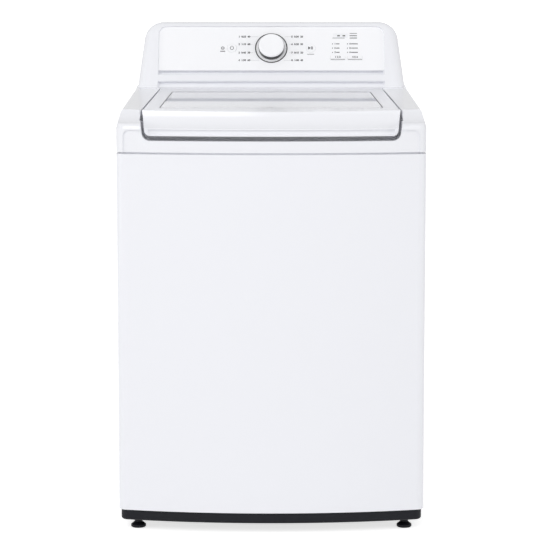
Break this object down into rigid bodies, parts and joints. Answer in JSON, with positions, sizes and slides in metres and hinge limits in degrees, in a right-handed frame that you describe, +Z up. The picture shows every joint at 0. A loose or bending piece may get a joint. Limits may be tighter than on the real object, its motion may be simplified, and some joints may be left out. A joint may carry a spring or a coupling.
{
  "type": "top load washing machine",
  "caption": "White top load washing machine with a bowed cabinet, sloping glazed lid, leaning control console, suspended tub, spinning steel basket and direct drive pulsator.",
  "frame": {"origin": "on the floor, below the middle of the outline", "axes": "+Z up, the front with the lid lip faces -Y, +X to the right seen from the front"},
  "size_m": [0.686, 0.72, 1.1285],
  "materials": {
    "cabinet_enamel": "gloss",
    "white_plastic": "gloss",
    "control_white": "satin",
    "black_plastic": "matte",
    "grey_plastic": "matte",
    "tub_plastic": "matte",
    "lid_glass": "clear",
    "dark_rubber": "matte",
    "grey_rubber": "matte",
    "stainless": "brushed",
    "zinc_steel": "satin",
    "cast_aluminium": "satin",
    "motor_iron": "matte",
    "chrome_trim": "mirror",
    "dial_grey": "matte",
    "display_grey": "gloss",
    "board_green": "matte"
  },
  "bodies": {
    "cabinet": {"cabinet_shell": "cabinet_enamel", "rear_panel": "zinc_steel", "base_frame": "black_plastic", "leveling_feet": "black_plastic", "foot_lock_nuts": "zinc_steel", "top_cover": "white_plastic", "hinge_brackets": "grey_plastic", "lid_lock": "grey_plastic", "dispenser_housing": "grey_plastic", "console_housing": "white_plastic", "console_back": "zinc_steel", "console_trim": "white_plastic", "control_panel": "control_white", "display_window": "display_grey", "indicator_lenses": "dial_grey", "dial_ring": "dial_grey", "control_board": "board_green", "encoder": "grey_plastic", "key_switches": "black_plastic", "inlet_valve": "tub_plastic", "fill_hose": "dark_rubber", "drain_outlet": "grey_plastic", "cord_gland": "dark_rubber", "drain_hose": "dark_rubber", "corner_brackets": "zinc_steel", "rod_sockets": "grey_plastic", "suspension_rods": "zinc_steel", "suspension_springs": "zinc_steel"},
    "lid": {"lid_frame": "white_plastic", "lid_handle": "white_plastic", "lid_glass": "lid_glass", "glass_gasket": "grey_rubber", "lid_hinge_pins": "zinc_steel", "lid_bumpers": "grey_rubber", "lid_strike": "grey_plastic"},
    "knob": {"knob_cap": "control_white", "knob_band": "chrome_trim", "knob_shaft": "zinc_steel"},
    "power_button": {"power_button": "control_white"},
    "start_button": {"start_button": "control_white"},
    "temperature_key": {"temperature_key": "control_white"},
    "rinse_key": {"rinse_key": "control_white"},
    "dispenser_drawer": {"dispenser_drawer": "white_plastic"},
    "tub": {"outer_tub": "tub_plastic", "tub_ring": "tub_plastic", "bearing_housing": "cast_aluminium", "spin_bearings": "zinc_steel", "tub_seal": "dark_rubber", "stator": "motor_iron", "drain_pump": "grey_plastic", "damper_cups": "tub_plastic"},
    "basket": {"basket_wall": "stainless", "basket_base": "tub_plastic", "balance_ring": "tub_plastic", "spin_shaft": "zinc_steel"},
    "pulsator": {"pulsator": "grey_plastic", "pulsator_cap": "grey_plastic", "wash_shaft": "zinc_steel", "rotor": "motor_iron"}
  },
  "joints": [
    {"name": "lid_hinge", "type": "hinge", "parent": "cabinet", "child": "lid", "pos_m": [0, 0.1735, 0.95964], "axis": [-1, 0, 0], "range_deg": [0, 95]},
    {"name": "knob_turn", "type": "hinge", "parent": "cabinet", "child": "knob", "pos_m": [0, 0.2501, 1.06644], "axis": [0, -0.891, 0.454], "continuous": true},
    {"name": "power_press", "type": "slide", "parent": "cabinet", "child": "power_button", "axis": [0, 0.891, -0.454], "range_m": [0, 0.0015], "stiffness_N_per_m": 900, "springref_m": -0.0005},
    {"name": "start_press", "type": "slide", "parent": "cabinet", "child": "start_button", "axis": [0, 0.891, -0.454], "range_m": [0, 0.0015], "stiffness_N_per_m": 900, "springref_m": -0.0005},
    {"name": "temperature_press", "type": "slide", "parent": "cabinet", "child": "temperature_key", "axis": [0, 0.891, -0.454], "range_m": [0, 0.0015], "stiffness_N_per_m": 900, "springref_m": -0.0005},
    {"name": "rinse_press", "type": "slide", "parent": "cabinet", "child": "rinse_key", "axis": [0, 0.891, -0.454], "range_m": [0, 0.0015], "stiffness_N_per_m": 900, "springref_m": -0.0005},
    {"name": "drawer_slide", "type": "slide", "parent": "cabinet", "child": "dispenser_drawer", "axis": [0, -1, 0], "range_m": [0, 0.09]},
    {"name": "tub_bounce", "type": "slide", "parent": "cabinet", "child": "tub", "axis": [0, 0, 1], "range_m": [-0.012, 0.006], "stiffness_N_per_m": 12000, "springref_m": 0.02782, "deforming": ["suspension_springs", "drain_hose"]},
    {"name": "basket_spin", "type": "hinge", "parent": "tub", "child": "basket", "pos_m": [0, 0, 0.165], "axis": [0, 0, 1], "continuous": true},
    {"name": "pulsator_spin", "type": "hinge", "parent": "tub", "child": "pulsator", "pos_m": [0, 0, 0.165], "axis": [0, 0, 1], "continuous": true}
  ]
}
